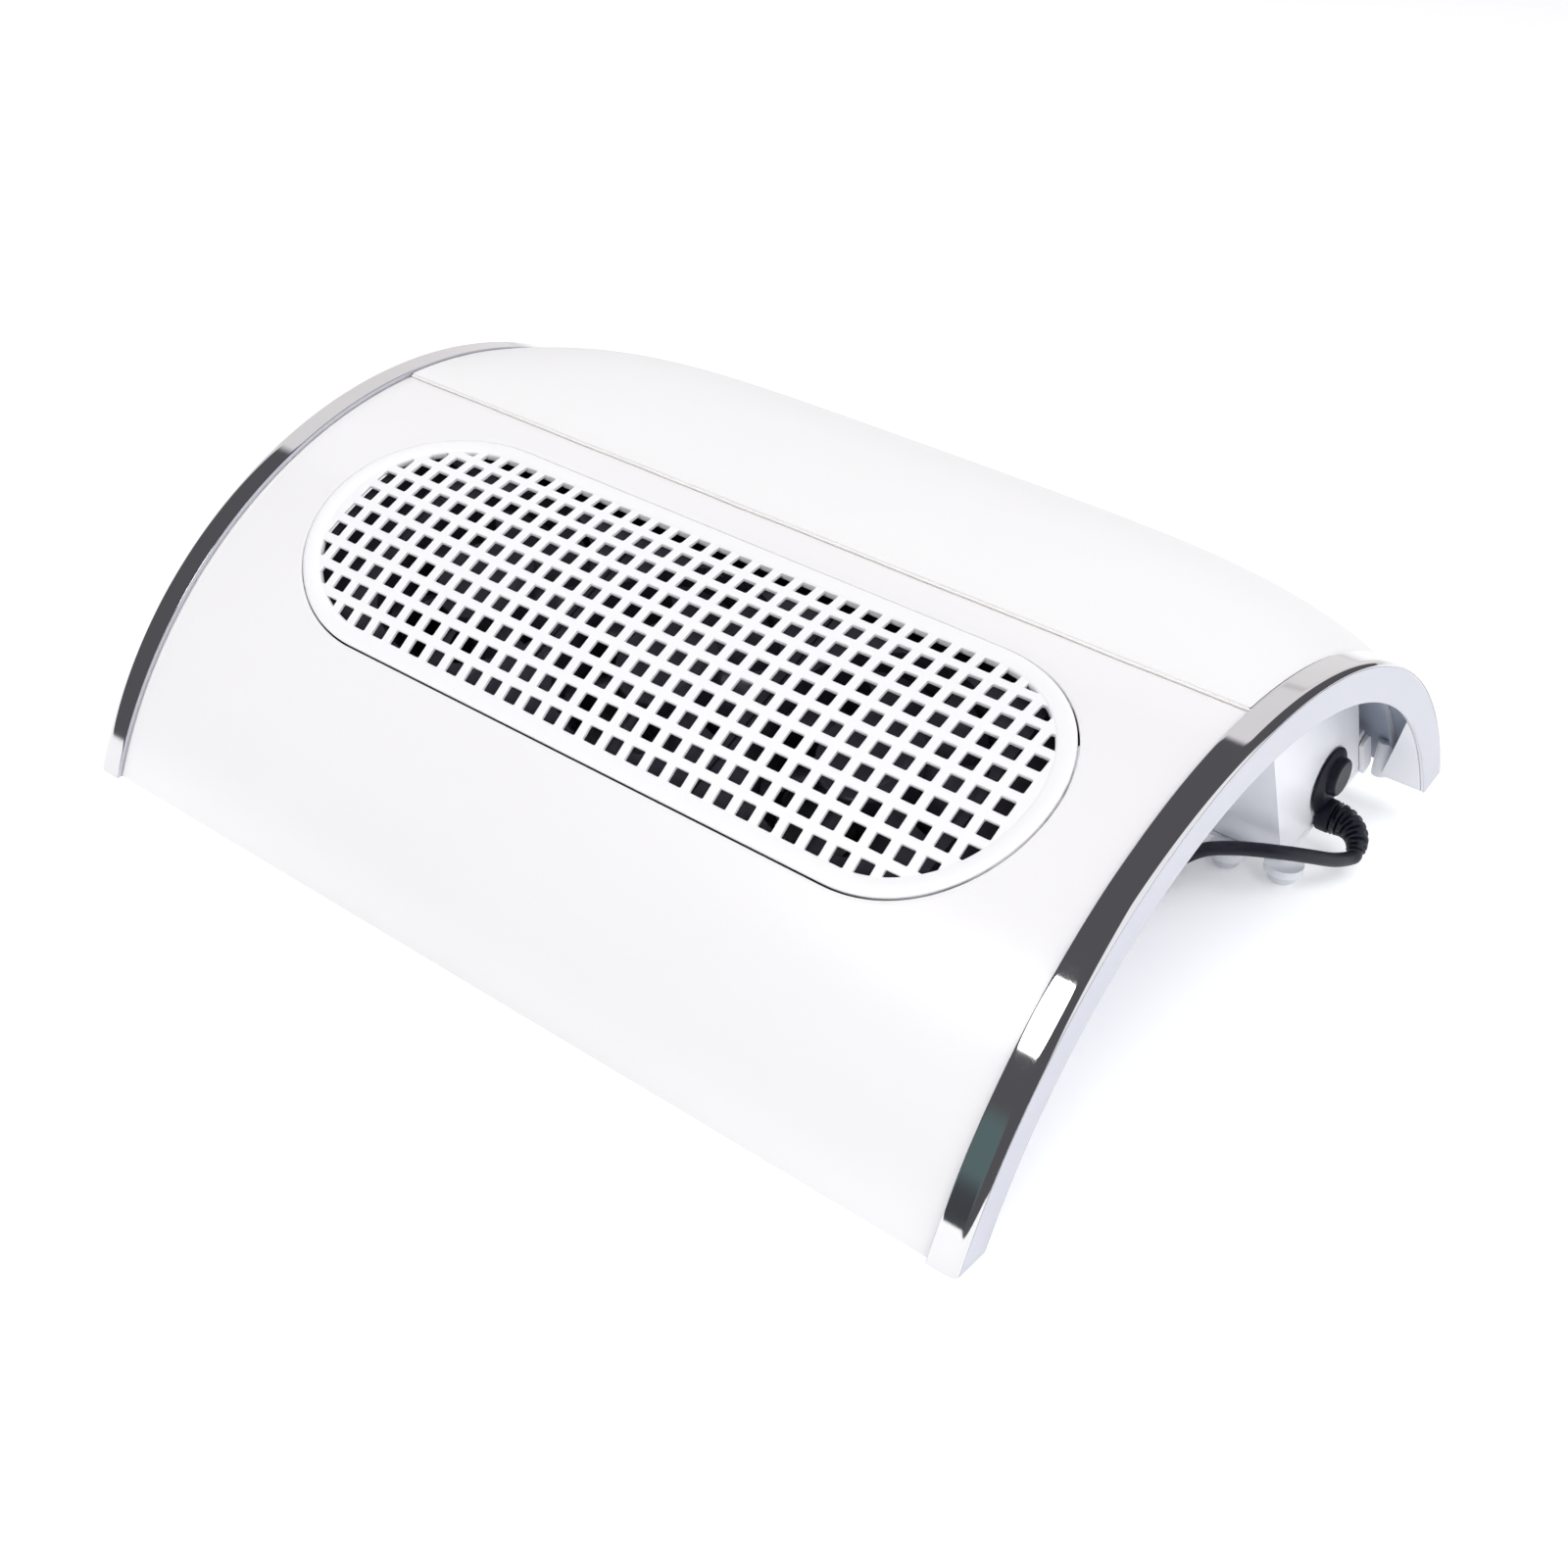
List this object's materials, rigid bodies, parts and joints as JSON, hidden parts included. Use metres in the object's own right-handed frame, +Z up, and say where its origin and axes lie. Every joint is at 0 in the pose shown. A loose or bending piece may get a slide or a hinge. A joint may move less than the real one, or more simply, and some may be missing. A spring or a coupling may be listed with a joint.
{
  "type": "nail dust collector",
  "caption": "Arched white table unit with a stadium-shaped perforated grille over fans, a padded hand rest, bright side trims and a captive cord.",
  "frame": {"origin": "bottom centre of the unit, on the surface it stands on", "axes": "+X along the unit's width, towards the cord's side; -Y towards the user, where the arch's front edge is; +Z up"},
  "size_m": [0.3464, 0.2419, 0.091],
  "materials": {
    "shell": "high gloss white",
    "trim": "bright plated",
    "cushion": "soft matte white artificial leather",
    "grille": "satin white",
    "housing": "satin white",
    "black_plastic": "moulded black",
    "black_rubber": "soft black",
    "steel": "plated steel",
    "bearing": "turned brass",
    "winding": "copper winding, simplified",
    "rocker": "glossy red"
  },
  "bodies": {
    "unit": {"top_shell": "shell", "left_trim": "trim", "right_trim": "trim", "grille": "grille", "hand_rest_cushion": "cushion", "fan_housing": "housing", "bottom_cover": "housing", "fan_deck": "black_plastic", "corner_foot_left": "housing", "corner_foot_right": "housing", "inner_foot_left": "housing", "inner_foot_right": "housing", "switch_bezel": "black_plastic", "cord_flange": "black_plastic", "cord_boot": "black_rubber", "cord_run": "black_rubber", "cord_coil": "black_rubber", "coil_tie": "black_rubber", "plug_body": "black_plastic", "plug_barrel": "steel", "supply_lead": "black_rubber", "fan_frame_left": "black_plastic", "fan_bearing_left": "bearing", "fan_stator_left": "winding", "fan_lead_left": "black_rubber", "fan_frame_middle": "black_plastic", "fan_bearing_middle": "bearing", "fan_stator_middle": "winding", "fan_lead_middle": "black_rubber", "fan_frame_right": "black_plastic", "fan_bearing_right": "bearing", "fan_stator_right": "winding", "fan_lead_right": "black_rubber", "fan_screw_left_1": "steel", "fan_screw_left_2": "steel", "fan_screw_middle_1": "steel", "fan_screw_middle_2": "steel", "fan_screw_right_1": "steel", "fan_screw_right_2": "steel", "cover_screw_1": "steel", "cover_screw_2": "steel", "cover_screw_3": "steel", "cover_screw_4": "steel", "shell_screw_1": "steel", "shell_screw_2": "steel", "shell_screw_3": "steel", "shell_screw_4": "steel"},
    "rocker": {"switch_rocker": "rocker"},
    "bag_frame": {"bag_frame": "housing"},
    "rotor_left": {"fan_rotor_left": "black_plastic", "fan_shaft_left": "steel"},
    "rotor_middle": {"fan_rotor_middle": "black_plastic", "fan_shaft_middle": "steel"},
    "rotor_right": {"fan_rotor_right": "black_plastic", "fan_shaft_right": "steel"}
  },
  "joints": [
    {"name": "fan_left_spin", "type": "hinge", "parent": "unit", "child": "rotor_left", "pos_m": [-0.0606, -0.04764, 0.0601], "axis": [0, -0.4509, 0.8926], "continuous": true},
    {"name": "fan_middle_spin", "type": "hinge", "parent": "unit", "child": "rotor_middle", "pos_m": [0, -0.04764, 0.0601], "axis": [0, -0.4509, 0.8926], "continuous": true},
    {"name": "fan_right_spin", "type": "hinge", "parent": "unit", "child": "rotor_right", "pos_m": [0.0606, -0.04764, 0.0601], "axis": [0, -0.4509, 0.8926], "continuous": true},
    {"name": "switch_rock", "type": "hinge", "parent": "unit", "child": "rocker", "pos_m": [-0.1196, 0.078, 0.024], "axis": [0, 1, 0], "range_deg": [0, 16]},
    {"name": "bag_frame_slide", "type": "slide", "parent": "unit", "child": "bag_frame", "axis": [0, 0.4509, -0.8926], "range_m": [0, 0.01]}
  ]
}
